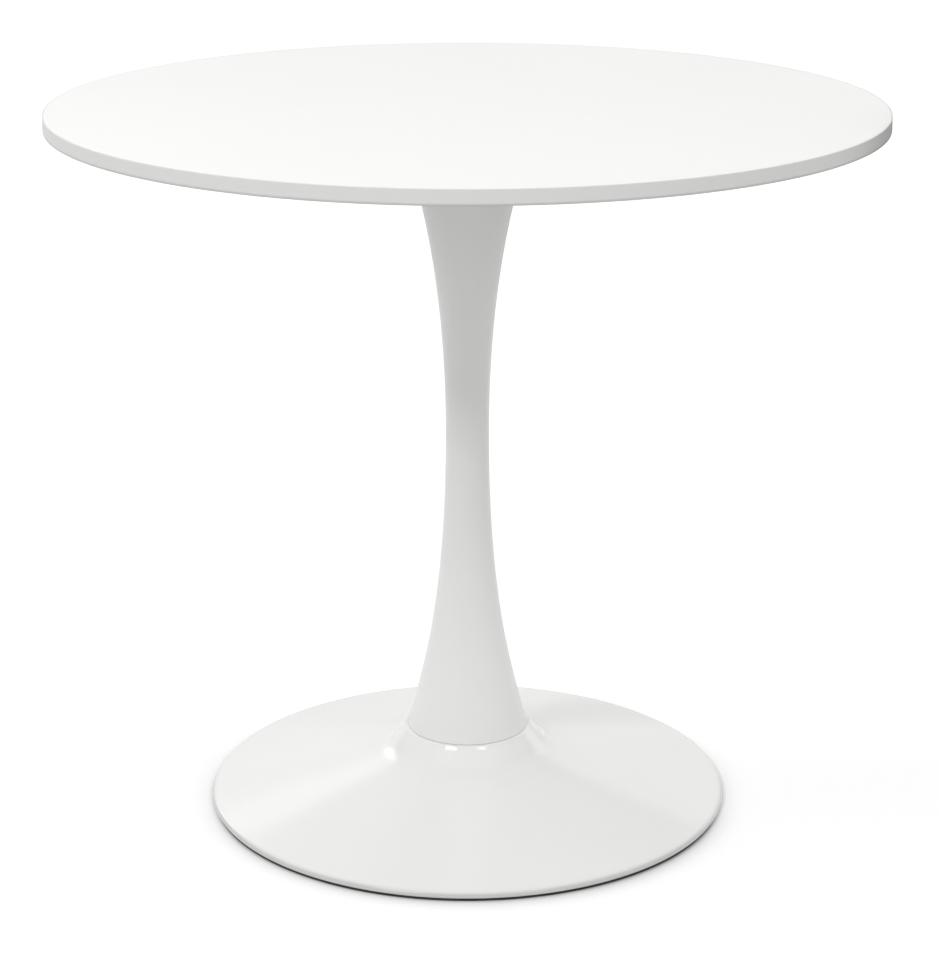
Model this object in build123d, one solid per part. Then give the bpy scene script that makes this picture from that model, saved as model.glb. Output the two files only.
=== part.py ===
from build123d import *
import math
import os

os.makedirs("parts", exist_ok=True)

# A round pedestal table: a laminated top, a waisted hollow stem and a spun base, drawn tight on
# one central rod. Millimetres, +Z up, origin on the floor under the middle of the table.

# Top
table_height = 750.0
top_diameter = 850.0
top_thickness = 15.0
laminate_thickness = 0.8
edge_band_thickness = 1.3
edge_band_round = 0.6
butt_joint_gap = 0.3
butt_joint_angle = -11.0  # degrees from +X, seen from above
glue_line = 0.1

# Plate under the top, and what fastens it
plate_overhang = 79.0  # past the stem's head
plate_thickness = 5.0
plate_edge_chamfer = 1.0
bolt_edge_distance = 30.0
bolt_count = 6
bolt_diameter = 6.0
bolt_end_gap = 1.6
bolt_head_diameter = 10.5
bolt_head_height = 3.3
bolt_head_round = 2.0
bolt_socket_width = 4.0
bolt_socket_depth = 2.0
bolt_hole_clearance = 0.3
washer_width = 3.0
washer_thickness = 1.6
insert_diameter = 10.0
insert_cover = 4.0  # top left above each insert
insert_hole_spare_depth = 0.5
boss_wall = 8.0
boss_length = 30.0
locating_ring_height = 12.0
locating_ring_wall = 6.0

# Stem: a foot, a waist and a head, joined by two smooth curves
stem_foot_radius = 64.0
stem_foot_lean = 13.0  # degrees from upright
stem_foot_pull = 60.0
stem_waist_radius = 22.8
stem_waist_height = 409.0
stem_waist_pull_down = 200.0
stem_waist_pull_up = 170.0
stem_head_radius = 71.0
stem_head_lean = 20.0
stem_head_pull = 50.0
stem_wall = 2.0
foot_ring_height = 10.0
foot_ring_width = 22.0

# Seam between stem and base
gasket_thickness = 0.4
gasket_recess = 0.3

# Base: ledge, stepped shoulder, neck, concave sweep, shallow cone and rim
base_diameter = 555.0
base_wall = 4.0
shoulder_width = 5.2
shoulder_round = 2.0
step_height = 3.0
step_slope = 70.0  # degrees from level
step_heel_round = 2.0
neck_height = 21.9
neck_slope = 52.0
cone_slope = 13.0
sweep_radius = 20.0
rim_round = 3.2
rim_edge_round = 1.0
rim_ring_height = 3.0
rim_ring_recess = 1.4
rim_ring_foot_width = 11.0
rim_ring_lip_width = 4.0
rim_ring_lip_height = 1.7

# Clamp stack under the neck
rod_diameter = 12.0
hub_spigot_wall = 5.5
hub_spigot_reach = 7.0  # into the foot ring
hub_flange_thickness = 6.0
hub_flange_inset = 2.0
clamp_washer_width = 12.5
clamp_washer_thickness = 3.0
spring_washer_width = 4.5
spring_washer_thickness = 2.5
spring_washer_split = 2.0
nut_width = 19.0  # across flats
nut_height = 10.0
jam_nut_height = 6.0
nut_chamfer = 1.2
rod_tail = 6.0  # past the clamp nut
rod_top_recess = 1.0

# Clearances
seat_clearance = 0.4  # between pieces that centre each other
thread_clearance = 0.1
rod_hole_clearance = 0.5

# The base's height follows from its rim, slopes, neck and step
base_radius = base_diameter / 2
step_lean = math.radians(step_slope)
neck_lean = math.radians(neck_slope)
cone_lean = math.radians(cone_slope)
shoulder_radius = stem_foot_radius + shoulder_width
rim_wall_drop = base_wall / math.cos(cone_lean) - base_wall * math.tan(cone_lean)
rim_top = rim_ring_height + rim_ring_lip_height + glue_line + rim_wall_drop
step_foot_radius = shoulder_radius + step_height / math.tan(step_lean)
neck_foot_radius = step_foot_radius + neck_height / math.tan(neck_lean)
neck_foot = rim_top + (base_radius - neck_foot_radius) * math.tan(cone_lean)
ledge_top = neck_foot + neck_height + step_height
ledge_underside = ledge_top - base_wall
seam_height = ledge_top + gasket_thickness

# Levels and radii that follow
top_radius = top_diameter / 2
core_radius = top_radius - edge_band_thickness - glue_line
top_underside = table_height - top_thickness
plate_underside = top_underside - plate_thickness
plate_radius = stem_head_radius + plate_overhang
bolt_circle_radius = plate_radius - bolt_edge_distance
insert_length = top_thickness - insert_cover
rod_radius = rod_diameter / 2
rod_hole_radius = rod_radius + rod_hole_clearance
thread_radius = rod_radius + thread_clearance
bolt_radius = bolt_diameter / 2
bolt_hole_radius = bolt_radius + bolt_hole_clearance
insert_hole_radius = insert_diameter / 2 + thread_clearance
bolt_seat = plate_underside - washer_thickness
bolt_end = top_underside + insert_length - bolt_end_gap
spigot_hole_radius = stem_foot_radius - stem_wall - foot_ring_width
spigot_radius = spigot_hole_radius - seat_clearance
hub_underside = ledge_underside - hub_flange_thickness
washer_underside = hub_underside - clamp_washer_thickness
spring_underside = washer_underside - spring_washer_thickness
nut_underside = spring_underside - nut_height
boss_underside = plate_underside - boss_length

bolt_places = PolarLocations(bolt_circle_radius, bolt_count)


def disc(radius, bottom, top):
    upright = (Align.CENTER, Align.CENTER, Align.MIN)
    return Pos(0, 0, bottom) * Cylinder(radius, top - bottom, align=upright)


def ring(outer, inner, bottom, top):
    return disc(outer, bottom, top) - disc(inner, bottom, top)


def spun(outline):
    # One turn of a closed outline drawn as radius and height.
    return revolve(Plane.XZ * make_face(outline), Axis.Z)


def at_bolts(piece):
    return [place * piece for place in bolt_places]


# The top


def top_core():
    core = disc(core_radius, top_underside + laminate_thickness, table_height - laminate_thickness)
    hole = disc(insert_hole_radius, top_underside, top_underside + insert_length + insert_hole_spare_depth)
    return core - at_bolts(hole)


def top_laminate():
    return disc(core_radius, table_height - laminate_thickness, table_height)


def backing_laminate():
    sheet = disc(core_radius, top_underside, top_underside + laminate_thickness)
    hole = disc(insert_hole_radius, top_underside, top_underside + laminate_thickness)
    return sheet - at_bolts(hole)


def edge_band():
    # A strip bent right round the board, whose two ends all but meet.
    inner = top_radius - edge_band_thickness
    corners = [
        (inner, table_height),
        (top_radius, table_height),
        (top_radius, top_underside),
        (inner, top_underside),
    ]
    outside = FilletPolyline(corners, radius=[edge_band_round, edge_band_round])
    section = Plane.XZ * make_face(Curve() + [outside, Line(corners[-1], corners[0])])
    gap_angle = math.degrees(butt_joint_gap / top_radius)
    strip = revolve(section, Axis.Z, 360 - gap_angle)
    return Rot(0, 0, butt_joint_angle + gap_angle / 2) * strip


def insert_nuts():
    insert = ring(
        insert_diameter / 2, bolt_radius + thread_clearance, top_underside, top_underside + insert_length
    )
    return at_bolts(insert)


# The plate under the top


def mounting_plate():
    plate = disc(plate_radius, plate_underside, top_underside)
    plate = chamfer(plate.edges().filter_by(GeomType.CIRCLE), plate_edge_chamfer)
    plate -= disc(rod_hole_radius, plate_underside, top_underside)
    return plate - at_bolts(disc(bolt_hole_radius, plate_underside, top_underside))


def plate_boss():
    return ring(thread_radius + boss_wall, thread_radius, boss_underside, plate_underside)


def plate_bolts():
    head = disc(bolt_head_diameter / 2, bolt_seat - bolt_head_height, bolt_seat)
    crown = head.edges().filter_by(GeomType.CIRCLE).sort_by(Axis.Z)[0]
    head = fillet(crown, bolt_head_round)
    socket = extrude(RegularPolygon(bolt_socket_width / 2, 6, major_radius=False), bolt_socket_depth)
    head -= Pos(0, 0, bolt_seat - bolt_head_height) * socket
    return at_bolts(head + disc(bolt_radius, bolt_seat, bolt_end))


def plate_washers():
    washer = ring(bolt_hole_radius + washer_width, bolt_hole_radius, bolt_seat, plate_underside)
    return at_bolts(washer)


# The stem


def stem_body(inset):
    # Everything inside the stem's outer curve, moved in by inset.
    foot = Vector(stem_foot_radius - inset, seam_height)
    waist = Vector(stem_waist_radius - inset, stem_waist_height)
    head = Vector(stem_head_radius - inset, plate_underside)
    foot_way = Vector(0, stem_foot_pull).rotate(Axis.Z, stem_foot_lean)
    head_way = Vector(0, -stem_head_pull).rotate(Axis.Z, -stem_head_lean)
    outline = [
        Line((0, seam_height), foot),
        Bezier(foot, foot + foot_way, waist - Vector(0, stem_waist_pull_down), waist),
        Bezier(waist, waist + Vector(0, stem_waist_pull_up), head + head_way, head),
        Polyline(head, (0, plate_underside), (0, seam_height)),
    ]
    return spun(Curve() + outline)


def stem():
    return stem_body(0) - stem_body(stem_wall)


def fitted_ring(inset, inner, bottom, top):
    # A ring whose outside follows the stem's own curve.
    return stem_body(inset) & ring(stem_head_radius + stem_foot_radius, inner, bottom, top)


def locating_ring():
    mouth = stem_head_radius - stem_wall
    inner = mouth - locating_ring_height * math.tan(math.radians(stem_head_lean)) - locating_ring_wall
    return fitted_ring(
        stem_wall + seat_clearance, inner, plate_underside - locating_ring_height, plate_underside
    )


def stem_foot_ring():
    return fitted_ring(
        stem_wall + glue_line, spigot_hole_radius, seam_height, seam_height + foot_ring_height
    )


def neck_gasket():
    return ring(stem_foot_radius - gasket_recess, spigot_hole_radius, ledge_top, seam_height)


# The base


def base_inside():
    # Corners under the ledge, inside the neck and under the cone, one wall in from the outside.
    neck_line = step_foot_radius - step_height / math.tan(neck_lean) - base_wall / math.sin(neck_lean)
    cone_at_rim = rim_top - base_wall / math.cos(cone_lean)
    drop = ledge_top - cone_at_rim - (base_radius - neck_line) * math.tan(cone_lean)
    run = drop / (math.tan(neck_lean) - math.tan(cone_lean))
    return [
        (spigot_hole_radius, ledge_underside),
        (neck_line + base_wall / math.tan(neck_lean), ledge_underside),
        (neck_line + run, ledge_top - run * math.tan(neck_lean)),
        (base_radius - base_wall, cone_at_rim + base_wall * math.tan(cone_lean)),
        (base_radius - base_wall, rim_ring_height),
    ]


def base_shell():
    outer = [
        (spigot_hole_radius, ledge_top),
        (shoulder_radius, ledge_top),
        (step_foot_radius, ledge_top - step_height),
        (neck_foot_radius, neck_foot),
        (base_radius, rim_top),
        (base_radius, rim_ring_height),
    ]
    inner = base_inside()
    heel_run = step_heel_round * math.tan((step_lean - neck_lean) / 2)
    neck_room = neck_height / math.sin(neck_lean) - heel_run
    sweep = min(sweep_radius, neck_room / math.tan((neck_lean - cone_lean) / 2))
    rounds = [shoulder_round, step_heel_round, sweep, rim_round, rim_edge_round]
    outside = FilletPolyline(outer + [inner[-1]], radius=rounds)
    inside = FilletPolyline(inner, radius=[0, sweep + base_wall, 0])
    return spun(Curve() + [outside, inside, Line(outer[0], inner[0])])


def rim_ring():
    # A foot on the floor with a low lip that sits inside the rim.
    foot_outer = base_radius - rim_ring_recess
    lip_outer = base_radius - base_wall - glue_line
    lip_top = rim_ring_height + rim_ring_lip_height
    foot = ring(foot_outer, foot_outer - rim_ring_foot_width, 0, rim_ring_height)
    return foot + ring(lip_outer, lip_outer - rim_ring_lip_width, 0, lip_top)


# The clamp stack


def clamp_hub():
    flange_radius = stem_foot_radius - base_wall - hub_flange_inset
    flange = ring(flange_radius, rod_hole_radius, hub_underside, ledge_underside)
    spigot_top = seam_height + hub_spigot_reach
    return flange + ring(spigot_radius, spigot_radius - hub_spigot_wall, ledge_underside, spigot_top)


def clamp_washer():
    return ring(rod_hole_radius + clamp_washer_width, rod_hole_radius, washer_underside, hub_underside)


def spring_washer():
    washer = ring(rod_hole_radius + spring_washer_width, rod_hole_radius, spring_underside, washer_underside)
    slit = Box(2 * rod_diameter, spring_washer_split, 4 * spring_washer_thickness)
    level = (spring_underside + washer_underside) / 2
    return washer - Pos(rod_diameter, 0, level) * Rot(30, 0, 0) * slit


def hex_nut(bottom, height):
    corner_radius = nut_width / math.sqrt(3)
    body = disc(corner_radius, 0, height)
    body = chamfer(body.edges().filter_by(GeomType.CIRCLE), nut_chamfer)
    body &= extrude(RegularPolygon(nut_width / 2, 6, major_radius=False), height)
    return Pos(0, 0, bottom) * (body - disc(thread_radius, 0, height))


def clamp_nut():
    return hex_nut(nut_underside, nut_height)


def jam_nut():
    return hex_nut(boss_underside - jam_nut_height, jam_nut_height)


def tie_rod():
    rod = disc(rod_radius, nut_underside - rod_tail, top_underside - rod_top_recess)
    return chamfer(rod.edges().filter_by(GeomType.CIRCLE), nut_chamfer)


pieces = [
    top_core,
    top_laminate,
    backing_laminate,
    edge_band,
    insert_nuts,
    mounting_plate,
    plate_boss,
    plate_bolts,
    plate_washers,
    locating_ring,
    stem,
    stem_foot_ring,
    neck_gasket,
    base_shell,
    rim_ring,
    clamp_hub,
    clamp_washer,
    spring_washer,
    clamp_nut,
    jam_nut,
    tie_rod,
]

for piece in pieces:
    made = piece()
    shape = Compound(made) if isinstance(made, list) else made
    export_step(shape, f"parts/{piece.__name__}.step")
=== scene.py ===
import math

import bmesh
import bpy
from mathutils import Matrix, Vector


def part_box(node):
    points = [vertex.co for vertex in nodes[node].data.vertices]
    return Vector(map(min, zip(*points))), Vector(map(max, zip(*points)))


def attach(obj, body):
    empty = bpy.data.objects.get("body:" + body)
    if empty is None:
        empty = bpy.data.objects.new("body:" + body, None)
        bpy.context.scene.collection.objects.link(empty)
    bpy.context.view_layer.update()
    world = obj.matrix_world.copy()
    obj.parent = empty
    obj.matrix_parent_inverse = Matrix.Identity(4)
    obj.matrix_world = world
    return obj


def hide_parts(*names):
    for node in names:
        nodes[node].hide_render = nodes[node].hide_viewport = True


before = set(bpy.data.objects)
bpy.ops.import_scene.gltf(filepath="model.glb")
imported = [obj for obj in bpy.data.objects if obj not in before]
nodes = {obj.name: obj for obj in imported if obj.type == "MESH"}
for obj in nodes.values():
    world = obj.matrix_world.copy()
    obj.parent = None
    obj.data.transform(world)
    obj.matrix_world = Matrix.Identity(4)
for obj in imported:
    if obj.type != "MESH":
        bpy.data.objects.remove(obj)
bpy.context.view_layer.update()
scene = bpy.context.scene
scene.view_settings.view_transform = "Standard"
mm = 0.001
fullTurn = 2 * math.pi
print("frame loaded,", len(nodes), "nodes")


# Camera, fitted to the ellipses of the top and the base

shot = {"lens": 101.18, "sensor": 36, "place": (0.0022, -2.694, 1.212), "lookDown": 0.3078}


def placeCamera():
    data = bpy.data.cameras.new("photoCamera")
    data.lens, data.sensor_width = shot["lens"], shot["sensor"]
    camera = bpy.data.objects.new("photoCamera", data)
    camera.location = shot["place"]
    camera.rotation_euler = (math.pi / 2 - shot["lookDown"], 0, 0)
    scene.collection.objects.link(camera)
    scene.camera = camera


placeCamera()
print("camera placed")


# Node writing: a Wire is a socket that takes part in sums, a Graph adds the nodes


class Wire:
    def __init__(self, graph, socket):
        self.graph, self.socket = graph, socket

    def out(self, name):
        return Wire(self.graph, self.socket.node.outputs[name])

    def math(self, operation, first, second):
        return self.graph.add("ShaderNodeMath", {"operation": operation}, {0: first, 1: second})

    def __add__(self, other):
        return self.math("ADD", self, other)

    def __radd__(self, other):
        return self.math("ADD", other, self)

    def __sub__(self, other):
        return self.math("SUBTRACT", self, other)

    def __rsub__(self, other):
        return self.math("SUBTRACT", other, self)

    def __mul__(self, other):
        return self.math("MULTIPLY", self, other)

    def __rmul__(self, other):
        return self.math("MULTIPLY", other, self)


class Graph:
    def __init__(self, tree):
        self.tree = tree

    def add(self, kind, settings=None, inputs=None, out=0):
        node = self.tree.nodes.new(kind)
        for name, value in (settings or {}).items():
            setattr(node, name, value)
        for name, value in (inputs or {}).items():
            for one in value if isinstance(value, list) else [value]:
                if isinstance(one, Wire):
                    self.tree.links.new(one.socket, node.inputs[name])
                else:
                    node.inputs[name].default_value = one
        return Wire(self, node.outputs[out]) if node.outputs else node

    def place(self):
        return self.add("ShaderNodeTexCoord").out("Object")

    def noise(self, where, scale, detail=2.0, roughness=0.5):
        return self.add(
            "ShaderNodeTexNoise", {}, {"Vector": where, "Scale": scale, "Detail": detail, "Roughness": roughness}
        )

    def stretched(self, where, scale):
        return self.add("ShaderNodeMapping", {}, {"Vector": where, "Scale": scale})

    def axes(self, where):
        split = self.add("ShaderNodeSeparateXYZ", {}, {0: where})
        return [split.out(axis) for axis in "XYZ"]

    def ramp(self, value, start, end, toStart=0.0, toEnd=1.0):
        return self.add(
            "ShaderNodeMapRange",
            {"interpolation_type": "SMOOTHSTEP"},
            {"Value": value, "From Min": start, "From Max": end, "To Min": toStart, "To Max": toEnd},
        )

    def blend(self, share, first, second):
        return self.add("ShaderNodeMix", {"data_type": "RGBA"}, {0: share, 6: first, 7: second}, out=2)

    def spread(self, where):  # distance from the table's axis
        x, y = self.axes(where)[:2]
        return self.add("ShaderNodeMath", {"operation": "SQRT"}, {0: x * x + y * y})

    def larger(self, first, second):
        return self.add("ShaderNodeMath", {"operation": "MAXIMUM"}, {0: first, 1: second})

    def bump(self, height, depth):
        return self.add("ShaderNodeBump", {}, {"Height": height, "Distance": depth, "Strength": 1.0})


def grey(tone, warm=0.006):
    return (tone + warm, tone + warm * 0.6, tone - warm, 1)


def shades(tone, apart):
    return grey(tone - apart), grey(tone + apart)


def newLook(name, numbers):
    look = bpy.data.materials.new(name)
    look.use_nodes = True
    graph = Graph(look.node_tree)
    shader = look.node_tree.nodes["Principled BSDF"]
    for socket, value in numbers.items():
        shader.inputs[socket].default_value = value
    return look, graph, shader


def feed(graph, shader, **wires):
    names = {"color": "Base Color", "rough": "Roughness", "normal": "Normal"}
    for name, wire in wires.items():
        graph.tree.links.new(wire.socket, shader.inputs[names[name]])


# Finishes; clouds, grain, peel and the like are the scales of their noises, depths are in metres

decor = {"tone": (0.891, 0.917), "rough": 0.36, "clouds": 5, "wipes": 1.6, "grain": 1500, "grainDepth": 0.00002}


def decorLook():
    look, g, shader = newLook("satinDecor", {"Specular IOR Level": 0.45})
    at = g.place()
    clouds = g.noise(at, decor["clouds"], 3)
    wipes = g.noise(g.stretched(at, (4, 19, 4)), decor["wipes"], 4, 0.6)  # faint marks of a cloth
    grain = g.noise(at, decor["grain"], 2, 0.6)
    dark, light = decor["tone"]
    color = g.blend(clouds, grey(dark), grey(light))
    rough = decor["rough"] + (wipes - 0.5) * 0.10 + (grain - 0.5) * 0.06
    feed(g, shader, color=color, rough=rough, normal=g.bump(grain, decor["grainDepth"]))
    return look


strip = {
    "tone": 0.716,
    "lineTone": 0.015,
    "trimTone": 0.03,
    "trim": (0.0012, 0.0002),
    # the next two: tone and band of painted shade along the strip's lower edge
    "paintedEdgeShadeTone": 0.50,
    "paintedEdgeShade": (0.0004, 0.0032),
    "rough": 0.42,
    "lines": 2600,
    "pebble": 1300,
    "grainDepth": 0.00002,
}


def stripLook():
    look, g, shader = newLook("edgingStrip", {"Specular IOR Level": 0.4})
    at = g.place()
    height = g.axes(at)[2]
    lines = g.noise(g.stretched(at, (1.5, 1.5, strip["lines"])), 1, 2, 0.6)  # drawn lines along the strip
    pebble = g.noise(at, strip["pebble"], 2)
    bottom, top = (c.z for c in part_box("edge_band"))
    half = (top - bottom) / 2
    off = g.add("ShaderNodeMath", {"operation": "ABSOLUTE"}, {0: height - (bottom + half)})
    start, end = strip["trim"]
    edge = g.ramp(off, half - start, half - end)  # the trimmed edges are a little paler and smoother
    face = g.blend(lines, *shades(strip["tone"], strip["lineTone"]))
    color = g.blend(edge, face, grey(strip["tone"] + strip["trimTone"]))
    start, end = strip["paintedEdgeShade"]
    paintedEdgeShade = g.ramp(height, bottom + start, bottom + end, 1.0, 0.0)  # painted shade: the strip's lower edge is darker, as if in shadow
    color = g.blend(paintedEdgeShade, color, grey(strip["paintedEdgeShadeTone"]))
    rough = strip["rough"] + (pebble - 0.5) * 0.1 - edge * 0.08
    feed(g, shader, color=color, rough=rough, normal=g.bump(lines * 0.6 + pebble * 0.4, strip["grainDepth"]))
    return look


stemPaint = {"tone": (0.804, 0.824), "rough": 0.34, "clouds": 14, "peel": 330, "fine": 1900, "peelDepth": 0.000035}


def stemLook():
    look, g, shader = newLook("satinStemPaint", {"Specular IOR Level": 0.5})
    at = g.place()
    clouds = g.noise(at, stemPaint["clouds"], 3)
    peel = g.noise(at, stemPaint["peel"], 1.5)
    fine = g.noise(at, stemPaint["fine"], 1)
    dark, light = stemPaint["tone"]
    color = g.blend(clouds, grey(dark), grey(light))
    rough = stemPaint["rough"] + (clouds - 0.5) * 0.08 + (fine - 0.5) * 0.08
    feed(g, shader, color=color, rough=rough, normal=g.bump(peel * 0.8 + fine * 0.2, stemPaint["peelDepth"]))
    return look


basePaint = {
    "tone": (0.827, 0.847),
    # the next two: tone and heights of painted shade on the rim's upright edge
    "rimShadeTone": 0.60,
    "rimShadeHeight": (0.0065, 0.0095),
    "dusty": (0.255, 0.279),
    "primer": 0.56,
    "rough": 0.085,
    "hollowRough": 0.36,
    "clouds": 11,
    "dust": 2400,
    "mist": 900,
    "peel": 170,
    "peelDepth": 0.00003,
}


def baseLook():
    look, g, shader = newLook("glossBasePaint", {"Specular IOR Level": 0.5})
    at = g.place()
    clouds = g.noise(at, basePaint["clouds"], 3)
    peel = g.noise(at, basePaint["peel"], 1.5)
    dust = g.noise(at, basePaint["dust"], 3, 0.7)
    dark, light = basePaint["tone"]
    rim = g.ramp(g.spread(at), *basePaint["dusty"])  # a little dust settles towards the rim
    hollow = g.add("ShaderNodeAttribute", {"attribute_name": "hollow"}).out("Fac")
    mist = g.noise(at, basePaint["mist"], 3, 0.7) * 0.5 + rim * 0.7  # paint that drifted in under the rim
    primer = g.blend(g.ramp(mist, 0.2, 0.9), grey(basePaint["primer"], 0.0), grey(dark))
    outside = g.blend(clouds, grey(dark), grey(light))
    paintedRimShade = g.ramp(g.axes(at)[2], *basePaint["rimShadeHeight"], 1.0, 0.0)  # painted shade: the rim's upright edge is darker, as if it got less light from above
    outside = g.blend(paintedRimShade, outside, grey(basePaint["rimShadeTone"]))
    color = g.blend(hollow, outside, primer)
    rough = basePaint["rough"] + (clouds - 0.5) * 0.05 + rim * 0.05 + g.ramp(dust, 0.62, 0.75) * 0.12
    rough = rough + hollow * basePaint["hollowRough"]
    feed(g, shader, color=color, rough=rough, normal=g.bump(peel, basePaint["peelDepth"]))
    return look


rubber = {"tone": 0.022, "dustTone": 0.11, "rough": 0.72, "pores": 1600, "patches": 30, "poreDepth": 0.00006}


def rubberLook():
    look, g, shader = newLook("blackRubber", {"Specular IOR Level": 0.35})
    at = g.place()
    height = g.axes(at)[2]
    pores = g.noise(at, rubber["pores"], 3, 0.65)
    patches = g.noise(at, rubber["patches"], 3)
    dust = g.ramp(patches + (0.004 - height) * 60, 0.5, 1.0) * g.ramp(pores, 0.4, 0.7)  # most of it near the floor
    color = g.blend(dust, grey(rubber["tone"], 0.001), grey(rubber["dustTone"], 0.006))
    rough = rubber["rough"] + (pores - 0.5) * 0.2
    feed(g, shader, color=color, rough=rough, normal=g.bump(pores, rubber["poreDepth"]))
    return look


seal = {"tone": 0.16, "rough": 0.6, "pores": 1800, "poreDepth": 0.00004}


def sealLook():
    look, g, shader = newLook("seamSeal", {"Specular IOR Level": 0.3})
    at = g.place()
    pores = g.noise(at, seal["pores"], 2)
    color = g.blend(pores, grey(seal["tone"] * 0.85, 0.002), grey(seal["tone"] * 1.15, 0.002))
    rough = seal["rough"] + (pores - 0.5) * 0.2
    feed(g, shader, color=color, rough=rough, normal=g.bump(pores, seal["poreDepth"]))
    return look


powder = {"tone": 0.79, "cloudTone": 0.012, "rough": 0.5, "clouds": 20, "peel": 520, "peelDepth": 0.00012}


def powderLook():
    look, g, shader = newLook("whitePowderCoat", {"Specular IOR Level": 0.45})
    at = g.place()
    peel = g.noise(at, powder["peel"], 2, 0.55)
    clouds = g.noise(at, powder["clouds"], 3)
    color = g.blend(clouds, *shades(powder["tone"], powder["cloudTone"]))
    rough = powder["rough"] + (peel - 0.5) * 0.2
    feed(g, shader, color=color, rough=rough, normal=g.bump(peel, powder["peelDepth"]))
    return look


zinc = {
    "dark": (0.52, 0.535, 0.55, 1),
    "light": (0.70, 0.70, 0.69, 1),
    "rough": 0.3,
    "bloom": 240,
    "rings": 2600,
    "ringDepth": 0.000012,
}


def zincLook():
    look, g, shader = newLook("brightZinc", {"Metallic": 1.0})
    at = g.place()
    outward, upward = g.spread(at) * zinc["rings"], g.axes(at)[2] * zinc["rings"]
    rings = g.noise(g.add("ShaderNodeCombineXYZ", {}, {0: outward, 1: upward, 2: 0.0}), 1, 2)  # turning marks
    bloom = g.noise(at, zinc["bloom"], 4, 0.6)
    color = g.blend(bloom, zinc["dark"], zinc["light"])
    rough = zinc["rough"] + (bloom - 0.5) * 0.25 + (rings - 0.5) * 0.1
    feed(g, shader, color=color, rough=rough, normal=g.bump(rings, zinc["ringDepth"]))
    return look


backing = {"tone": 0.77, "cloudTone": 0.02, "rough": 0.55, "clouds": 7, "weave": 420, "weaveDepth": 0.00003}


def backingLook():
    look, g, shader = newLook("balancingSheet", {"Specular IOR Level": 0.35})
    at = g.place()
    warp, weft = (g.noise(g.stretched(at, way), backing["weave"], 2) for way in ((1, 5, 1), (5, 1, 1)))
    clouds = g.noise(at, backing["clouds"], 4)
    color = g.blend(clouds, *shades(backing["tone"], backing["cloudTone"]))
    rough = backing["rough"] + (clouds - 0.5) * 0.12
    feed(g, shader, color=color, rough=rough, normal=g.bump(warp + weft, backing["weaveDepth"]))
    return look


board = {
    "dark": (0.30, 0.20, 0.11, 1),
    "light": (0.50, 0.37, 0.23, 1),
    "rough": 0.8,
    "fibres": 700,
    "fibreDepth": 0.0001,
}


def boardLook():
    look, g, shader = newLook("rawFibreboard", {"Specular IOR Level": 0.2})
    at = g.place()
    fibres = g.noise(g.stretched(at, (1, 1, 4)), board["fibres"], 4, 0.7)
    color = g.blend(fibres, board["dark"], board["light"])
    rough = board["rough"] + (fibres - 0.5) * 0.2
    feed(g, shader, color=color, rough=rough, normal=g.bump(fibres, board["fibreDepth"]))
    return look


brass = {"dark": (0.46, 0.31, 0.12, 1), "light": (0.68, 0.50, 0.24, 1), "rough": 0.32, "stains": 300}


def brassLook():
    look, g, shader = newLook("plainBrass", {"Metallic": 1.0})
    at = g.place()
    stains = g.noise(at, brass["stains"], 4, 0.6)
    color = g.blend(stains, brass["dark"], brass["light"])
    feed(g, shader, color=color, rough=brass["rough"] + (stains - 0.5) * 0.3)
    return look


looks = {
    "decor": decorLook(),
    "strip": stripLook(),
    "stem": stemLook(),
    "base": baseLook(),
    "rubber": rubberLook(),
    "seal": sealLook(),
    "powder": powderLook(),
    "zinc": zincLook(),
    "backing": backingLook(),
    "board": boardLook(),
    "brass": brassLook(),
}
print("finishes made,", len(looks))


# Turned shapes


def roundedOutline(corners, radii, step=5.0, longest=9.0):
    # Corners as (radius, height) in mm; radii belong to the corners between the ends.
    runs = [Vector(corners[0])]
    for before, corner, after, radius in zip(corners, corners[1:], corners[2:], radii):
        here = Vector(corner)
        back, ahead = (Vector(before) - here).normalized(), (Vector(after) - here).normalized()
        turn = math.pi - back.angle(ahead)
        if radius <= 0 or turn < 0.01:
            runs.append(here)
            continue
        setback = radius * math.tan(turn / 2)
        middle = here + (back + ahead).normalized() * (radius / math.cos(turn / 2))
        start, end = here + back * setback, here + ahead * setback
        count = max(3, round(math.degrees(turn) / step))
        for i in range(count + 1):
            spoke = (start - middle).slerp(end - middle, i / count)
            runs.append(middle + spoke.normalized() * radius)
    runs.append(Vector(corners[-1]))
    outline = [runs[0]]
    for end in runs[1:]:
        start = outline[-1]
        length = (end - start).length
        if length < 1e-6:
            continue
        if length > longest:
            count = int(length // longest)
            near = 0.7 / length  # a close ring at each end keeps the long runs flat
            for share in [near] + [i / (count + 1) for i in range(1, count + 1)] + [1 - near]:
                outline.append(start.lerp(end, share))
        outline.append(end)
    return [tuple(p) for p in outline]


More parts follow.
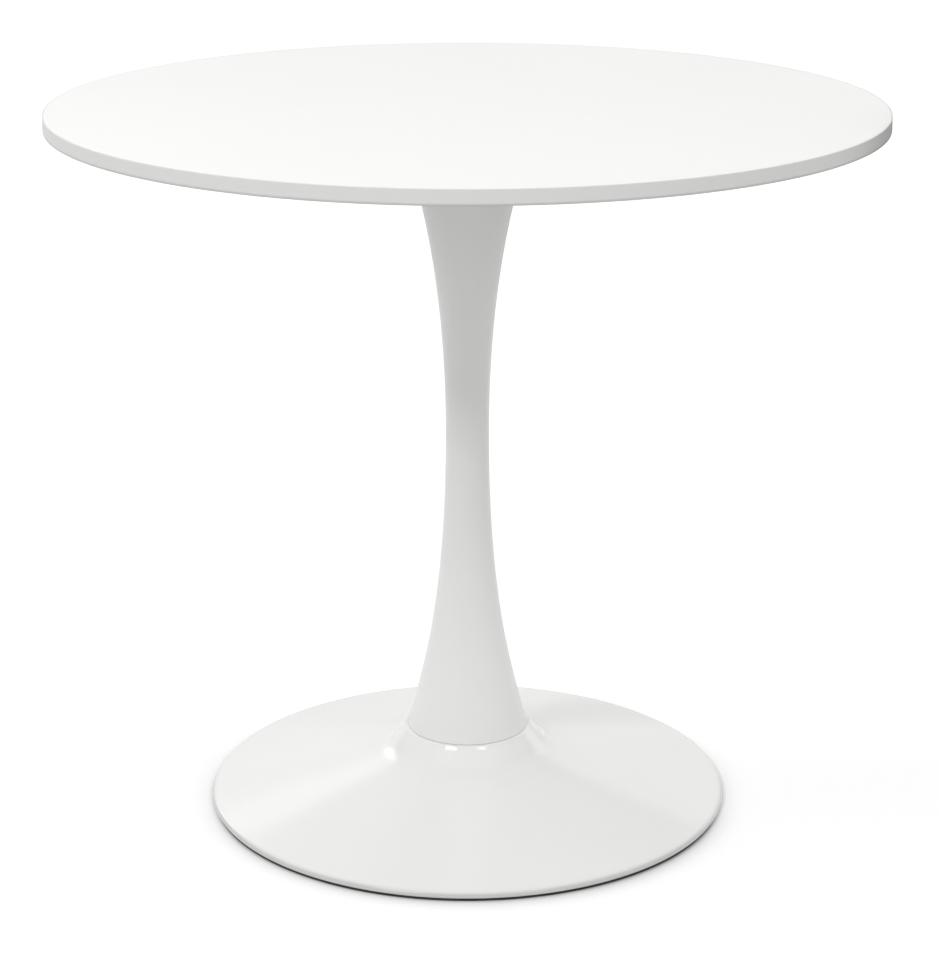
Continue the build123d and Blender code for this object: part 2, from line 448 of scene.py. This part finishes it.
def turned(name, rows, segments, look, sharp=35.0, start=0.0, sweep=fullTurn, closed=True):
    # Rows are (radius, height) in mm, or functions of the angle that give them; radius 0 is a pole.
    mesh = bpy.data.meshes.new(name)
    made = bmesh.new()
    whole = sweep > fullTurn - 1e-9
    count = segments if whole else segments + 1
    rings = []
    for row in rows:
        if not callable(row) and row[0] < 1e-6:
            rings.append([made.verts.new((0, 0, row[1] * mm))] * count)
            continue
        ring = []
        for i in range(count):
            angle = start + sweep * i / segments
            radius, height = row(angle) if callable(row) else row
            ring.append(made.verts.new((radius * math.cos(angle) * mm, radius * math.sin(angle) * mm, height * mm)))
        rings.append(ring)
    pairs = list(zip(rings, rings[1:] + rings[:1])) if closed else list(zip(rings, rings[1:]))
    for lower, upper in pairs:
        for i in range(segments):
            j = (i + 1) % count
            corners = [lower[i], lower[j], upper[j], upper[i]]
            corners = [c for k, c in enumerate(corners) if c not in corners[:k]]
            if len(corners) > 2:
                made.faces.new(corners)
    if not whole and closed:
        made.faces.new([ring[0] for ring in rings])
        made.faces.new([ring[-1] for ring in reversed(rings)])
    bmesh.ops.recalc_face_normals(made, faces=made.faces)
    for face in made.faces:
        face.smooth = True
    made.to_mesh(mesh)
    made.free()
    mesh.set_sharp_from_angle(angle=math.radians(sharp))
    mesh.materials.append(look)
    piece = bpy.data.objects.new(name, mesh)
    scene.collection.objects.link(piece)
    return piece


def fit(piece, slot, *cadNodes):
    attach(piece, "root")
    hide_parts(*cadNodes)


def low(node):
    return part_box(node)[0].z / mm


def high(node):
    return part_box(node)[1].z / mm


def reach(node):
    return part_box(node)[1].x / mm


# Top

sheet = {"segments": 512, "edgeRound": 0.15, "edgeZone": 6.0}


def makeSheet():
    bottom, top, radius = low("top_laminate"), high("top_laminate"), reach("top_laminate")
    inner = radius - sheet["edgeZone"]
    corners = [(inner, top), (radius, top), (radius, bottom), (inner, bottom)]
    edge = roundedOutline(corners, [sheet["edgeRound"], 0], 15)
    rows = [(0, top), (radius * 0.5, top)] + edge + [(0, bottom)]
    piece = turned("decor_sheet", rows, sheet["segments"], looks["decor"], closed=False)
    fit(piece, "top_decor", "top_laminate")


band = {"segments": 640, "radius": 425.0, "thickness": 1.3, "round": 0.6, "buttAngle": -11.0, "buttGap": 0.3}


def makeBand():
    bottom, top, outer = low("edge_band"), high("edge_band"), band["radius"]
    inner = outer - band["thickness"]
    corners = [(inner, top), (outer, top), (outer, bottom), (inner, bottom)]
    rows = roundedOutline(corners, [band["round"]] * 2, 9, 4)
    gap = band["buttGap"] / outer
    start = math.radians(band["buttAngle"]) + gap / 2
    piece = turned("edge_strip", rows, band["segments"], looks["strip"], start=start, sweep=fullTurn - gap)
    fit(piece, "edge_strip", "edge_band")


makeSheet()
makeBand()
print("top made")


# Stem, drawn by a rule: two curves from foot to waist and waist to head, spun about the axis

column = {
    "Foot Radius": 64.0,
    "Foot Lean": 13.0,
    "Foot Pull": 60.0,
    "Waist Radius": 22.8,
    "Waist Height": 409.0,
    "Waist Pull Down": 200.0,
    "Waist Pull Up": 170.0,
    "Head Radius": 71.0,
    "Head Lean": 20.0,
    "Head Pull": 50.0,
    "Wall": 2.0,
}
columnDetail = {"Turns": 288, "Rows": 80}
columnSharp = 40.0


def inputSocket(tree, name, kind, value=None):
    socket = tree.interface.new_socket(name=name, in_out="INPUT", socket_type=kind)
    if value is not None:
        socket.default_value = value
    return socket.identifier


def grown(tree, name, values, look):
    # Runs a node tree on an empty mesh and keeps the result as a plain mesh.
    piece = bpy.data.objects.new(name, bpy.data.meshes.new(name + "Start"))
    scene.collection.objects.link(piece)
    modifier = piece.modifiers.new("grow", "NODES")
    modifier.node_group = tree
    for identifier, value in values.items():
        modifier[identifier] = value
    piece.data.materials.append(look)
    bpy.context.view_layer.update()
    mesh = bpy.data.meshes.new_from_object(piece.evaluated_get(bpy.context.evaluated_depsgraph_get()))
    mesh.name = name
    piece.modifiers.remove(modifier)
    piece.data = mesh
    return piece


def newTree(name):
    tree = bpy.data.node_groups.new(name, "GeometryNodeTree")
    tree.interface.new_socket(name="Geometry", in_out="OUTPUT", socket_type="NodeSocketGeometry")
    return tree, Graph(tree)


def endTree(g, shape, look):
    real = g.add("GeometryNodeRealizeInstances", {}, {"Geometry": shape})
    dressed = g.add("GeometryNodeSetMaterial", {}, {"Geometry": real, "Material": look})
    g.add("NodeGroupOutput", {}, {0: dressed})


def columnTree():
    tree, g = newTree("columnLathe")
    identifiers = {}
    for name, value in column.items():
        identifiers[name] = inputSocket(tree, name, "NodeSocketFloat", value)
    for name, value in columnDetail.items():
        identifiers[name] = inputSocket(tree, name, "NodeSocketInt", value)
    for name in ("Foot Height", "Head Height"):
        identifiers[name] = inputSocket(tree, name, "NodeSocketFloat")
    entry = g.add("NodeGroupInput")
    size = {name: entry.out(name) for name in identifiers}

    def point(radius, height):
        return g.add("ShaderNodeCombineXYZ", {}, {0: radius, 1: height, 2: 0.0})

    def lean(name, operation):
        return g.add("ShaderNodeMath", {"operation": operation}, {0: size[name] * (math.pi / 180)})

    strands = []
    for inset in (0.0, size["Wall"]):
        foot, waist, head = (size[n + " Radius"] - inset for n in ("Foot", "Waist", "Head"))
        lower = {
            "Start": point(foot, size["Foot Height"]),
            "Start Handle": point(
                foot - size["Foot Pull"] * lean("Foot Lean", "SINE"),
                size["Foot Height"] + size["Foot Pull"] * lean("Foot Lean", "COSINE"),
            ),
            "End Handle": point(waist, size["Waist Height"] - size["Waist Pull Down"]),
            "End": point(waist, size["Waist Height"]),
            "Resolution": size["Rows"],
        }
        upper = {
            "Start": point(waist, size["Waist Height"]),
            "Start Handle": point(waist, size["Waist Height"] + size["Waist Pull Up"]),
            "End Handle": point(
                head - size["Head Pull"] * lean("Head Lean", "SINE"),
                size["Head Height"] - size["Head Pull"] * lean("Head Lean", "COSINE"),
            ),
            "End": point(head, size["Head Height"]),
            "Resolution": size["Rows"],
        }
        for curve in (lower, upper):
            bezier = g.add("GeometryNodeCurvePrimitiveBezierSegment", {"mode": "POSITION"}, curve)
            strands.append(g.add("GeometryNodeCurveToMesh", {}, {"Curve": bezier}))
    for end in ("Foot", "Head"):  # the rims that join the outer wall to the inner
        ends = {
            "Start": point(size[end + " Radius"] - size["Wall"], size[end + " Height"]),
            "End": point(size[end + " Radius"], size[end + " Height"]),
        }
        line = g.add("GeometryNodeCurvePrimitiveLine", {}, ends)
        strands.append(g.add("GeometryNodeCurveToMesh", {}, {"Curve": line}))
    joined = g.add("GeometryNodeJoinGeometry", {}, {"Geometry": strands})
    merged = g.add("GeometryNodeMergeByDistance", {}, {"Geometry": joined, "Distance": 0.001})
    outline = g.add("GeometryNodeMeshToCurve", {}, {"Mesh": merged})
    wide = 1000.0  # the profile is swept on a wide circle, moved inwards by as much
    across = g.add("GeometryNodeTransform", {},
                   {"Geometry": outline, "Translation": (-wide, 0.0, 0.0), "Scale": (1.0, -1.0, 1.0)})
    circle = g.add("GeometryNodeCurvePrimitiveCircle", {}, {"Resolution": size["Turns"], "Radius": wide})
    spun = g.add("GeometryNodeCurveToMesh", {}, {"Curve": circle, "Profile Curve": across})
    scaled = g.add("GeometryNodeTransform", {}, {"Geometry": spun, "Scale": (mm, mm, mm)})
    smooth = g.add("GeometryNodeSetShadeSmooth", {}, {"Geometry": scaled})
    endTree(g, smooth, looks["stem"])
    return tree, identifiers


def makeColumn():
    tree, identifiers = columnTree()
    values = {identifiers[name]: value for name, value in {**column, **columnDetail}.items()}
    values[identifiers["Foot Height"]] = low("stem")
    values[identifiers["Head Height"]] = high("stem")
    piece = grown(tree, "stem_column", values, looks["stem"])
    made = bmesh.new()
    made.from_mesh(piece.data)
    bmesh.ops.recalc_face_normals(made, faces=made.faces)
    made.to_mesh(piece.data)
    made.free()
    piece.data.set_sharp_from_angle(angle=math.radians(columnSharp))
    fit(piece, "stem_paint", "stem")


makeColumn()
print("stem made")


# Base

spunBase = {
    "segments": 320,
    "radius": 277.5,
    "wall": 4.0,
    "footRadius": 64.0,
    "shoulderWidth": 4.0,
    "shoulderRound": 1.2,
    "stepHeight": 3.4,
    "stepSlope": 55.5,
    "heelRound": 4.0,
    "neckHeight": 21.5,
    "neckSlope": 52.0,
    "coneSlope": 13.0,
    "sweepRadius": 30.0,
    "rimRound": 4.8,
    "rimEdgeRound": 1.0,
    "hollowRound": 1.0,
    "lipRound": 0.6,
    "bore": 40.0,
}


def movedIn(corners, inset):
    # The same run of corners, moved to its inner side by inset.
    lines = []
    for start, end in zip(corners, corners[1:]):
        way = (Vector(end) - Vector(start)).normalized()
        lines.append((Vector(start) + Vector((way.y, -way.x)) * inset, way))
    moved = [lines[0][0]]
    for (first, way), (second, turn) in zip(lines, lines[1:]):
        gap = second - first
        share = (gap.x * turn.y - gap.y * turn.x) / (way.x * turn.y - way.y * turn.x)
        moved.append(first + way * share)
    last = Vector(corners[-1])
    moved.append(last + Vector((lines[-1][1].y, -lines[-1][1].x)) * inset)
    return [tuple(p) for p in moved]


def baseCorners(stepped):
    b = spunBase
    step, neck, cone = (math.tan(math.radians(b[n])) for n in ("stepSlope", "neckSlope", "coneSlope"))
    ledge = high("base_shell")
    shoulder = b["footRadius"] + b["shoulderWidth"]
    stepFoot = shoulder + b["stepHeight"] / step
    neckTop = ledge - b["stepHeight"]
    neckFoot = stepFoot + b["neckHeight"] / neck
    coneTop = neckTop - b["neckHeight"]
    upper = [(shoulder, ledge), (stepFoot, neckTop)] if stepped else [(stepFoot - b["stepHeight"] / neck, ledge)]
    rim = b["radius"]
    lower = [(neckFoot, coneTop), (rim, coneTop - (rim - neckFoot) * cone), (rim, low("base_shell"))]
    return [(b["bore"], ledge)] + upper + lower


def makeBase():
    b = spunBase
    outer, inner = baseCorners(True), movedIn(baseCorners(False), b["wall"])
    rounds = [b["shoulderRound"], b["heelRound"], b["sweepRadius"], b["rimRound"], b["rimEdgeRound"]]
    outside = roundedOutline(outer + [inner[-1]], rounds, 4.0, 7.0)
    inside = roundedOutline(inner, [b["hollowRound"], b["sweepRadius"] + b["wall"], b["lipRound"]], 6.0, 14.0)
    piece = turned("base_spun", outside + inside[::-1][1:], b["segments"], looks["base"])
    hollow = piece.data.attributes.new("hollow", "FLOAT", "POINT")  # 1 on the unseen side
    first = len(outside) * b["segments"]
    hollow.data.foreach_set("value", [float(i >= first) for i in range(len(piece.data.vertices))])
    fit(piece, "base_paint", "base_shell")


ringShape = {
    "segments": 320,
    "footWidth": 11.0,
    "footHeight": 3.0,
    "lipOuter": 273.4,
    "lipWidth": 4.0,
    "round": 0.6,
    "edgeRound": 0.3,
}
seamIn = 3.0  # where a closed outline starts, so that all of its corners are rounded


def makeFloorRing():
    r = ringShape
    outer, top = reach("rim_ring"), high("rim_ring")
    inner, lip, ledge = outer - r["footWidth"], r["lipOuter"] - r["lipWidth"], r["footHeight"]
    corners = [(inner + seamIn, 0), (outer, 0), (outer, ledge), (r["lipOuter"], ledge), (r["lipOuter"], top),
               (lip, top), (lip, ledge), (inner, ledge), (inner, 0), (inner + seamIn, 0)]
    edge = r["edgeRound"]
    rows = roundedOutline(corners, [r["round"], edge, 0, edge, edge, 0, edge, r["round"]], 15)[:-1]
    fit(turned("floor_ring", rows, r["segments"], looks["rubber"]), "black_rubber", "rim_ring")


gasket = {"segments": 224, "inner": 40.0, "round": 0.12}


def makeGasket():
    bottom, top, outer = low("neck_gasket"), high("neck_gasket"), reach("neck_gasket")
    inner = gasket["inner"]
    corners = [(inner, bottom), (outer, bottom), (outer, top), (inner, top)]
    rows = roundedOutline(corners, [gasket["round"]] * 2, 15)
    fit(turned("seam_gasket", rows, gasket["segments"], looks["seal"]), "black_rubber", "neck_gasket")


makeBase()
makeFloorRing()
makeGasket()
print("base made")


# Hardware under the top and in the base's hollow


def hexagon(width, angle):  # distance to the side of a hexagon, measured across its flats
    return width / 2 / math.cos(angle % (fullTurn / 6) - fullTurn / 12)


def ringTree():
    tree, g = newTree("ringOfParts")
    part = inputSocket(tree, "Part", "NodeSocketObject")
    count = inputSocket(tree, "Count", "NodeSocketInt", 6)
    radius = inputSocket(tree, "Circle Radius", "NodeSocketFloat", 0.12)
    seed = inputSocket(tree, "Seed", "NodeSocketInt", 4)
    entry = g.add("NodeGroupInput")
    circle = g.add("GeometryNodeMeshCircle", {},
                   {"Vertices": entry.out("Count"), "Radius": entry.out("Circle Radius")})
    one = g.add("GeometryNodeObjectInfo", {"transform_space": "ORIGINAL"},
                {"Object": entry.out("Part"), "As Instance": True})
    turn = g.add("FunctionNodeRandomValue", {"data_type": "FLOAT_VECTOR"},
                 {0: (0, 0, 0), 1: (0, 0, fullTurn), "Seed": entry.out("Seed")})
    ring = g.add("GeometryNodeInstanceOnPoints", {},
                 {"Points": circle, "Instance": one.out("Geometry"), "Rotation": turn})
    endTree(g, ring, looks["zinc"])
    return tree, (part, count, radius, seed)


def ringOf(name, part, count, radius, seed):
    tree, identifiers = ringTree()
    piece = grown(tree, name, dict(zip(identifiers, (part, count, radius * mm, seed))), looks["zinc"])
    bpy.data.objects.remove(part)
    return piece


screw = {
    "count": 6,
    "segments": 48,
    "head": 5.25,
    "crown": 3.3,
    "round": 2.0,
    "seatRound": 0.25,
    "flat": 2.6,
    "shank": 3.0,
    "point": 0.6,
    "socket": 4.0,
    "socketLip": 0.3,
    "lipDepth": 0.15,
    "depth": 2.0,
    "coneDepth": 0.5,
    "seed": 4,
}
screwWasher = {"segments": 48, "inner": 3.3, "width": 3.0, "round": 0.3, "seed": 9}


def makeScrews():
    s, w = screw, screwWasher
    crown, end = low("plate_bolts"), high("plate_bolts")
    seat = crown + s["crown"]
    circle = reach("plate_bolts") - s["head"]
    corners = [(s["shank"], seat), (s["head"], seat), (s["head"], crown), (s["flat"], crown)]
    head = roundedOutline(corners, [s["seatRound"], s["round"]], 12)
    socket = [
        lambda angle: (hexagon(s["socket"] + s["socketLip"], angle), crown),
        lambda angle: (hexagon(s["socket"], angle), crown + s["lipDepth"]),
        lambda angle: (hexagon(s["socket"], angle), crown + s["depth"]),
    ]
    rows = [(0, end), (s["shank"] - s["point"], end), (s["shank"], end - s["point"])] + head
    rows += socket + [(0, crown + s["depth"] + s["coneDepth"])]
    one = turned("oneScrew", rows, s["segments"], looks["zinc"], closed=False)
    fit(ringOf("plate_screws", one, s["count"], circle, s["seed"]), "zinc_hardware", "plate_bolts")
    bottom, top, outer = low("plate_washers"), high("plate_washers"), w["inner"] + w["width"]
    corners = [(w["inner"], bottom), (outer, bottom), (outer, top), (w["inner"], top)]
    rows = roundedOutline(corners, [w["round"]] * 2, 15)
    one = turned("oneWasher", rows, w["segments"], looks["zinc"])
    fit(ringOf("screw_washers", one, s["count"], circle, w["seed"]), "zinc_hardware", "plate_washers")


rod = {
    "segments": 36,
    "major": 6.0,
    "minor": 5.1,
    "plain": 5.5,
    "pitch": 1.75,
    "rowsPerPitch": 6,
    "threadLow": 46.0,
    "threadHigh": 42.0,
    "chamfer": 1.2,
}


def makeRod():
    r = rod
    bottom, top = low("tie_rod"), high("tie_rod")

    def ring(height):
        fade = min(1.0, max(0.0, bottom + r["threadLow"] - height, height - top + r["threadHigh"]) / 2)
        end = r["major"] - r["chamfer"] + min(height - bottom, top - height)

        def spot(angle):
            share = abs((height / r["pitch"] - angle / fullTurn) % 1.0 - 0.5) * 2  # 0 on the crest, 1 in the root
            cut = min(1.0, max(0.0, share * 1.35 - 0.2))  # leaves crest and root flat
            thread = r["major"] - (r["major"] - r["minor"]) * cut
            return min(end, r["plain"] + (thread - r["plain"]) * fade), height

        return spot

    def heights(start, end):
        count = round((end - start) / r["pitch"] * r["rowsPerPitch"])
        return [start + (end - start) * i / count for i in range(count + 1)]

    levels = heights(bottom, bottom + r["threadLow"]) + heights(top - r["threadHigh"], top)
    rows = [(0, bottom)] + [ring(level) for level in levels] + [(0, top)]
    piece = turned("threaded_rod", rows, r["segments"], looks["zinc"], sharp=60.0, closed=False)
    fit(piece, "zinc_hardware", "tie_rod")


nut = {"segments": 96, "width": 19.0, "bore": 6.1, "lead": 0.7, "face": 9.2, "slope": 30.0, "steps": 8}


def makeNut(name, node):
    bottom, top = low(node), high(node)
    corner = nut["width"] / math.sqrt(3)
    drop = (corner - nut["face"]) * math.tan(math.radians(nut["slope"]))

    def side(share, end, way):
        cone = nut["face"] + (corner - nut["face"]) * share
        return lambda angle: (min(cone, hexagon(nut["width"], angle)), end + way * drop * share)

    shares = [i / nut["steps"] for i in range(nut["steps"] + 1)]
    rows = [(nut["bore"], bottom + nut["lead"]), (nut["bore"] + nut["lead"], bottom)]
    rows += [side(share, bottom, 1) for share in shares] + [side(share, top, -1) for share in shares[::-1]]
    rows += [(nut["bore"] + nut["lead"], top), (nut["bore"], top - nut["lead"])]
    fit(turned(name, rows, nut["segments"], looks["zinc"], sharp=25.0), "zinc_hardware", node)


hub = {
    "segments": 160,
    "flange": 6.0,
    "bore": 6.5,
    "spigotWall": 5.5,
    "spigot": 39.6,
    "round": 0.8,
    "edgeRound": 0.4,
    "fillet": 0.5,
}
wideWasher = {"segments": 96, "bore": 6.5, "round": 0.6, "boreRounds": [0.2, 0.3]}


def makeHub():
    h, w = hub, wideWasher
    bottom, top, flange = low("clamp_hub"), high("clamp_hub"), reach("clamp_hub")
    ledge, bore = bottom + h["flange"], h["bore"]
    inner = h["spigot"] - h["spigotWall"]
    corners = [(bore + seamIn, bottom), (flange, bottom), (flange, ledge), (h["spigot"], ledge), (h["spigot"], top),
               (inner, top), (inner, ledge), (bore, ledge), (bore, bottom), (bore + seamIn, bottom)]
    edge, fillet = h["edgeRound"], h["fillet"]
    rows = roundedOutline(corners, [h["round"], edge, fillet, h["round"], edge, fillet, edge, edge], 15)[:-1]
    fit(turned("turned_hub", rows, h["segments"], looks["zinc"]), "zinc_hardware", "clamp_hub")
    bottom, top, outer = low("clamp_washer"), high("clamp_washer"), reach("clamp_washer")
    bore = w["bore"]
    corners = [(bore + seamIn, bottom), (outer, bottom), (outer, top), (bore, top), (bore, bottom),
               (bore + seamIn, bottom)]
    rows = roundedOutline(corners, [w["round"]] * 2 + w["boreRounds"], 15)[:-1]
    fit(turned("wide_washer", rows, w["segments"], looks["zinc"]), "zinc_hardware", "clamp_washer")


makeScrews()
makeRod()
makeNut("pull_nut", "clamp_nut")
makeNut("lock_nut", "jam_nut")
makeHub()
print("hardware made")


# CAD nodes that stay, with their finishes

kept = {
    "top_core": "board",
    "backing_laminate": "backing",
    "insert_nuts": "brass",
    "mounting_plate": "powder",
    "plate_boss": "powder",
    "locating_ring": "powder",
    "stem_foot_ring": "zinc",
    "spring_washer": "zinc",
}


def dressNodes():
    for name, look in kept.items():
        data = nodes[name].data
        data.materials.clear()
        data.materials.append(looks[look])


dressNodes()
print("kept nodes dressed")


# Studio: a pale floor, a black card at the right, a white sweep round the back and two soft lamps


def flat(name, corners, look):
    mesh = bpy.data.meshes.new(name)
    mesh.from_pydata(corners, [], [(0, 1, 2, 3)])
    mesh.materials.append(look)
    piece = bpy.data.objects.new(name, mesh)
    scene.collection.objects.link(piece)
    return piece


floor = {
    "size": 40.0,
    "level": -0.0002,
    "tone": 0.62,
    "seenTone": 1.0,
    "glowFront": 0.03,
    "glowBack": 0.22,
    "back": (-0.02, 0.42),
    "far": (0.75, 1.2),
    "contactReach": 0.08,
    "contactDepth": 0.6,
    "contactFront": (-0.16, -0.03),
    "contactRightDepth": 0.4,
    "contactRight": (0.05, 0.2),
    "dullGloss": 0.4,
    "dullRight": (0.1, 0.9),
    "dullBack": (1.4, 2.4),
}


def makeFloor():
    look = bpy.data.materials.new("paleFloor")
    look.use_nodes = True
    tree = look.node_tree
    tree.nodes.clear()
    g = Graph(tree)
    path = g.add("ShaderNodeLightPath")
    paint = g.add("ShaderNodeBsdfDiffuse", {}, {"Color": grey(floor["tone"], 0.002)})
    at = g.place()
    across, along = g.axes(at)[:2]
    clear = g.add("ShaderNodeAmbientOcclusion", {"samples": 8}, {"Distance": floor["contactReach"]}).out("AO")
    front = g.ramp(along, *floor["contactFront"], 1.0, 0.0)
    depth = front * (floor["contactDepth"] + floor["contactRightDepth"] * g.ramp(across, *floor["contactRight"]))
    shade = floor["seenTone"] * (1 - depth * (1 - clear))  # deepens the shadow along the front of the rim
    seenPaint = g.add("ShaderNodeBsdfDiffuse", {}, {"Color": shade})
    away = g.larger(g.ramp(along, *floor["back"]), g.ramp(g.spread(at), *floor["far"]))
    lift = floor["glowFront"] + (floor["glowBack"] - floor["glowFront"]) * away  # keeps the floor white under the top
    glow = g.add("ShaderNodeEmission", {}, {"Color": lift})
    lit = g.add("ShaderNodeAddShader", {}, {0: seenPaint, 1: glow})
    backRight = g.ramp(across, *floor["dullRight"]) * g.ramp(along, *floor["dullBack"])
    sheen = 1 - (1 - floor["dullGloss"]) * backRight  # what the gloss of the base mirrors
    white = g.add("ShaderNodeEmission", {}, {"Color": sheen})
    seen = g.add("ShaderNodeMixShader", {}, {0: path.out("Is Camera Ray"), 1: paint, 2: lit})
    mirrored = g.larger(path.out("Is Glossy Ray"), path.out("Is Transmission Ray"))
    whole = g.add("ShaderNodeMixShader", {}, {0: mirrored, 1: seen, 2: white})
    g.add("ShaderNodeOutputMaterial", {}, {"Surface": whole})
    half, level = floor["size"] / 2, floor["level"]
    corners = [(-half, -half, level), (half, -half, level), (half, half, level), (-half, half, level)]
    piece = flat("paleFloor", corners, look)


card = {"x": 0.485, "y": (-0.17, -0.03), "z": (0.69, 0.79), "tone": 0.01, "rough": 0.9}


def makeCard():
    # Stands beside the table, out of the picture, and dims the right end of the edging strip.
    look = newLook("blackCard", {"Base Color": grey(card["tone"], 0.0), "Roughness": card["rough"]})[0]
    (front, back), (bottom, top), x = card["y"], card["z"], card["x"]
    piece = flat("blackCard", [(x, front, bottom), (x, front, top), (x, back, top), (x, back, bottom)], look)
    piece.visible_camera = False


room = {
    "haze": 0.434,
    "hazeLeft": 0.03,
    "beltSoft": 0.06,
    "belts": {
        "lowFront": {"from": 0.20, "to": 0.45, "start": -0.1, "full": -0.75, "level": 0.57, "left": -0.2},
        "lowBack": {"from": 0.20, "to": 0.45, "start": -0.35, "full": 0.35, "level": 2.49, "left": 0.22},
        "highFront": {"from": 0.68, "to": 0.86, "start": 0.15, "full": -0.55, "level": 1.934, "left": -0.275},
    },
    "dim": 0.42,
    "ceiling": 0.5,
    "ceilingRise": (0.6, 0.8),
    "ceilingFront": (-0.1, -0.4),
    "sweepTop": 0.548,
    "sweepTilt": 0.082,
    "sweepLeft": 1.0,
    "sweepRight": 0.65,
    "sweepSoft": 0.012,
    "glows": {
        "upperLeft": {"bearing": -17.0, "rise": 32.0, "reach": 7.0, "gain": 0.26},
        "leftEdge": {"bearing": -35.0, "rise": 27.0, "reach": 15.0, "gain": 2.0},
        "leftSide": {"bearing": -22.0, "rise": 18.0, "reach": 22.0, "gain": 0.15},
        "upperHaze": {"bearing": -20.0, "rise": 38.0, "reach": 16.0, "gain": 0.35},
        "rightEdge": {"bearing": 46.0, "rise": 16.0, "reach": 18.0, "gain": 0.6},
        "rightFoot": {"bearing": 8.0, "rise": 2.0, "reach": 5.0, "gain": -0.2},
    },
}


def makeRoom():
    world = bpy.data.worlds.new("studio")
    scene.world = world
    world.use_nodes = True
    tree = world.node_tree
    tree.nodes.clear()
    g = Graph(tree)
    path = g.add("ShaderNodeLightPath")
    x, y, z = g.axes(g.add("ShaderNodeTexCoord").out("Generated"))
    fill = room["haze"] * (1 - room["hazeLeft"] * x)
    soft = room["beltSoft"]
    for belt in room["belts"].values():  # soft light in belts round the table, each towards the front or the back
        lower = g.ramp(z, belt["from"] - soft, belt["from"] + soft)
        upper = g.ramp(z, belt["to"] - soft, belt["to"] + soft, 1.0, 0.0)
        fill = fill + belt["level"] * lower * upper * g.ramp(y, belt["start"], belt["full"]) * (1 - belt["left"] * x)
    soft = room["sweepSoft"]
    topPart = g.ramp(z + room["sweepTilt"] * x, room["sweepTop"] - soft, room["sweepTop"] + soft, 1.0, 0.0)
    leftPart = g.ramp(y + room["sweepLeft"] * x, -3 * soft, 3 * soft)  # its sides are softer than its top
    rightPart = g.ramp(y - room["sweepRight"] * x, -3 * soft, 3 * soft)
    ahead = g.ramp(z, *room["ceilingRise"]) * g.ramp(y, *room["ceilingFront"])
    sweep = (1 - room["dim"]) * topPart
    for patch in room["glows"].values():  # brighter and dimmer patches on the sweep, as seen in the gloss
        bearing, rise = math.radians(patch["bearing"]), math.radians(patch["rise"])
        across, along = math.sin(bearing) * math.cos(rise), math.cos(bearing) * math.cos(rise)
        near = x * across + y * along + z * math.sin(rise)
        sweep = sweep + patch["gain"] * g.ramp(near, math.cos(math.radians(patch["reach"])), 1.0)
    mirrored = room["dim"] + leftPart * rightPart * sweep + room["ceiling"] * ahead
    seen = path.out("Is Camera Ray")
    glossy = g.larger(path.out("Is Glossy Ray"), path.out("Is Transmission Ray"))
    level = seen + (1 - seen) * (glossy * mirrored + (1 - glossy) * fill)
    light = g.add("ShaderNodeBackground", {}, {"Color": level})
    g.add("ShaderNodeOutputWorld", {}, {"Surface": light})


lamps = {
    "frontLeft": {"place": (-1.38, -2.10, 2.38), "aim": (0, 0, 0.3), "size": (0.9, 0.32), "watts": 17.0},
    "frontRight": {"place": (1.22, -2.17, 2.40), "aim": (0, 0, 0.3), "size": (0.7, 0.28), "watts": 4.3},
}


def makeLamps():
    for name, lamp in lamps.items():
        data = bpy.data.lights.new(name, "AREA")
        data.shape = "RECTANGLE"
        data.size, data.size_y = lamp["size"]
        data.energy = lamp["watts"]
        item = bpy.data.objects.new(name, data)
        item.location = lamp["place"]
        item.rotation_euler = (Vector(lamp["aim"]) - Vector(lamp["place"])).to_track_quat("-Z", "Y").to_euler()
        item.visible_camera = False
        scene.collection.objects.link(item)


makeFloor()
makeCard()
makeRoom()
makeLamps()
print("studio lit")
